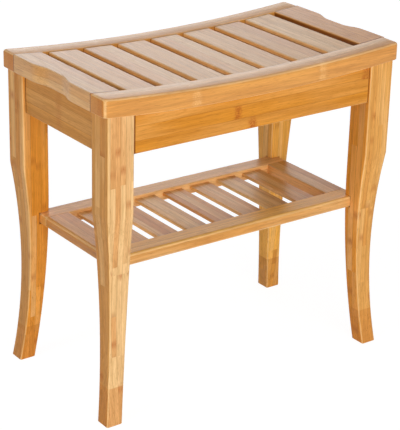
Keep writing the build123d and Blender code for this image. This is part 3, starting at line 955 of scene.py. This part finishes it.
class BENCH_OT_shelf(bpy.types.Operator):
    """Finishes the shelf's frame and slats"""

    bl_idname = "bench.shelf"
    bl_label = "Shelf"

    def execute(self, context):
        shelf = context.scene.bench.shelf
        # The front rail's top and the rear rail carry painted light
        rails = {
            "shelf_rail_front": (shelf.front_wood, shelf.front_edge_wood),
            "shelf_rail_rear": (shelf.rear_wood, shelf.rear_wood),
        }
        for seed, (name, (wood, edge_wood)) in enumerate(rails.items(), start=SEEDS["shelf rails"]):
            rail_wood = bamboo(name, FLAT_X, wood, strips=(2, 1), seed=seed, side_wood=edge_wood, coat=0.2)
            dress(name, rail_wood)
        wood = shelf.frame_wood
        # The left board's sides carry painted shade
        ends = {"shelf_end_left": shelf.left_edge_wood, "shelf_end_right": shelf.right_edge_wood}
        for seed, (name, edge_wood) in enumerate(ends.items(), start=SEEDS["shelf ends"]):
            end_wood = bamboo(name, ALONG_Y, wood, strips=(2, 1), seed=seed, side_wood=edge_wood, coat=0.25)
            dress(name, end_wood)
        slats = names_of("shelf_slat_")
        pale_slats = slats[2::3]
        for seed, name in enumerate(slats, start=SEEDS["shelf slats"]):
            wood = shelf.pale_slat_wood if name in pale_slats else shelf.slat_wood
            slat_wood = bamboo(name, ALONG_Y, wood, strips=(3, 1), seed=seed, contrast=0.7, coat=0.2)
            dress(name, slat_wood)
        return {"FINISHED"}


class BENCH_OT_fittings(bpy.types.Operator):
    """Finishes the corner blocks, dowels, bolts and screws"""

    bl_idname = "bench.fittings"
    bl_label = "Blocks and fittings"

    def execute(self, context):
        wood = context.scene.bench.shelf.slat_wood
        for seed, name in enumerate(names_of("corner_block_"), start=SEEDS["corner blocks"]):
            dress(name, bamboo(name, UPRIGHT, wood, strips=(3, 3), seed=seed))
        for name in ("end_dowels", "apron_dowels", "shelf_dowels", "leg_dowels"):
            dress(name, bamboo(name, ALONG_Y, wood, strips=(9, 9), seed=SEEDS["dowels"], contrast=0.2))
        steel = brushed_steel()
        for name in ("leg_bolts", "leg_washers", "leg_inserts", "block_screws"):
            dress(name, steel)
        return {"FINISHED"}


def looked_at(wiring):
    """One for rays that show a surface itself, and zero for those that only carry its light."""
    rays = wiring.add("ShaderNodeLightPath").outputs
    seen = wiring.math("MAXIMUM", rays["Is Camera Ray"], rays["Is Glossy Ray"])
    return wiring.math("MAXIMUM", seen, rays["Is Transmission Ray"])


def pale_floor(colour_of_floor):
    """A floor that is seen white, keeps the bench's shadow and is clear from below."""
    bpy.ops.mesh.primitive_plane_add(size=FLOOR_SIZE, location=(0.0, 0.0, -FLOOR_DROP))
    floor = bpy.context.object
    floor.name = "floor"
    material, wiring = blank_material("Pale floor")
    paint = wiring.add("ShaderNodeBsdfDiffuse", {"Color": (*colour_of_floor, 1.0)})
    glow = wiring.add("ShaderNodeEmission", {"Color": WHITE, "Strength": FLOOR_GLOW})
    glowing = wiring.times(looked_at(wiring), GLOW_SHARE)
    lit = wiring.add("ShaderNodeMixShader", {0: glowing, 1: paint.outputs[0], 2: glow.outputs[0]})
    below = wiring.add("ShaderNodeNewGeometry").outputs["Backfacing"]
    clear = wiring.add("ShaderNodeBsdfTransparent")
    surface = wiring.add("ShaderNodeMixShader", {0: below, 1: lit.outputs[0], 2: clear.outputs[0]})
    wiring.add("ShaderNodeOutputMaterial", {"Surface": surface.outputs[0]})
    floor.data.materials.append(material)


def studio(brightness):
    """A room that is seen white and lights the bench at this brightness."""
    world = bpy.data.worlds.new("Studio")
    bpy.context.scene.world = world
    world.use_nodes = True
    world.node_tree.nodes.clear()
    wiring = Wiring(world.node_tree)
    strength = wiring.scaled(looked_at(wiring), 1.0 - brightness, brightness)
    sky = wiring.add("ShaderNodeBackground", {"Color": WHITE, "Strength": strength})
    wiring.add("ShaderNodeOutputWorld", {"Surface": sky.outputs[0]})


def softbox(name, azimuth, elevation, width, height, watts, mirrored=False):
    """A soft lamp. Azimuth 0 is in front of the bench and 90 on its right.

    Only a mirrored lamp shows in the varnish, so that the seat is white from no side.
    """
    turn = Euler((radians(90.0 - elevation), 0.0, radians(azimuth)))
    towards = Vector((0.0, 0.0, 1.0))
    towards.rotate(turn)
    place = LAMP_AIM + towards * LAMP_DISTANCE
    bpy.ops.object.light_add(type="AREA", location=place, rotation=turn)
    lamp = bpy.context.object
    lamp.name = name
    lamp.data.shape = "RECTANGLE"
    lamp.data.size = width
    lamp.data.size_y = height
    lamp.data.energy = watts
    lamp.visible_camera = False
    lamp.visible_glossy = mirrored


def front_camera():
    """The camera, in front of the bench on its left and above the seat."""
    bpy.ops.object.camera_add(location=CAMERA_PLACE)
    camera = bpy.context.object
    camera.name = "camera"
    turn = Euler((radians(90.0 - CAMERA_TILT), 0.0, radians(CAMERA_TURN))).to_matrix()
    roll = Matrix.Rotation(radians(CAMERA_ROLL), 3, "Z")
    camera.rotation_euler = (turn @ roll).to_euler()
    camera.data.lens = CAMERA_LENS
    camera.data.sensor_width = SENSOR_WIDTH
    camera.data.clip_start = CAMERA_NEAREST
    camera.data.clip_end = CAMERA_FURTHEST
    bpy.context.scene.camera = camera


class BENCH_OT_stage(bpy.types.Operator):
    """Adds the floor, the light and the camera"""

    bl_idname = "bench.stage"
    bl_label = "Stage"

    def execute(self, context):
        stage = context.scene.bench.stage
        pale_floor(stage.floor)
        studio(stage.sky)
        softbox("key", azimuth=-10.0, elevation=8.0, width=2.0, height=1.3, watts=stage.key_power)
        softbox("side", azimuth=-84.0, elevation=25.0, width=0.8, height=0.5, watts=stage.side_power)
        softbox(
            "rear",
            azimuth=151.0,
            elevation=14.0,
            width=1.4,
            height=0.8,
            watts=stage.rear_power,
            mirrored=True,
        )
        front_camera()
        context.scene.view_settings.view_transform = "Standard"
        return {"FINISHED"}


class BENCH_PT_sidebar(bpy.types.Panel):
    """Lists the steps that build the bench, in order"""

    bl_idname = "BENCH_PT_sidebar"
    bl_label = "Shower bench"
    bl_space_type = "VIEW_3D"
    bl_region_type = "UI"
    bl_category = "Bench"

    def draw(self, context):
        for step in steps:
            self.layout.operator(step.bl_idname)


settings = [
    BambooSettings,
    SeatSettings,
    LegSettings,
    ShelfSettings,
    StageSettings,
    BenchSettings,
]
steps = [
    BENCH_OT_seat_frame,
    BENCH_OT_seat_slats,
    BENCH_OT_aprons,
    BENCH_OT_legs,
    BENCH_OT_shelf,
    BENCH_OT_fittings,
    BENCH_OT_stage,
]


def register():
    for cls in (*settings, *steps, BENCH_PT_sidebar):
        bpy.utils.register_class(cls)
    bpy.types.Scene.bench = PointerProperty(type=BenchSettings)


def unregister():
    del bpy.types.Scene.bench
    for cls in reversed((*settings, *steps, BENCH_PT_sidebar)):
        bpy.utils.unregister_class(cls)


def main():
    register()
    bpy.ops.bench.seat_frame()
    bpy.ops.bench.seat_slats()
    bpy.ops.bench.aprons()
    bpy.ops.bench.legs()
    bpy.ops.bench.shelf()
    bpy.ops.bench.fittings()
    bpy.ops.bench.stage()


if __name__ == "__main__":
    main()
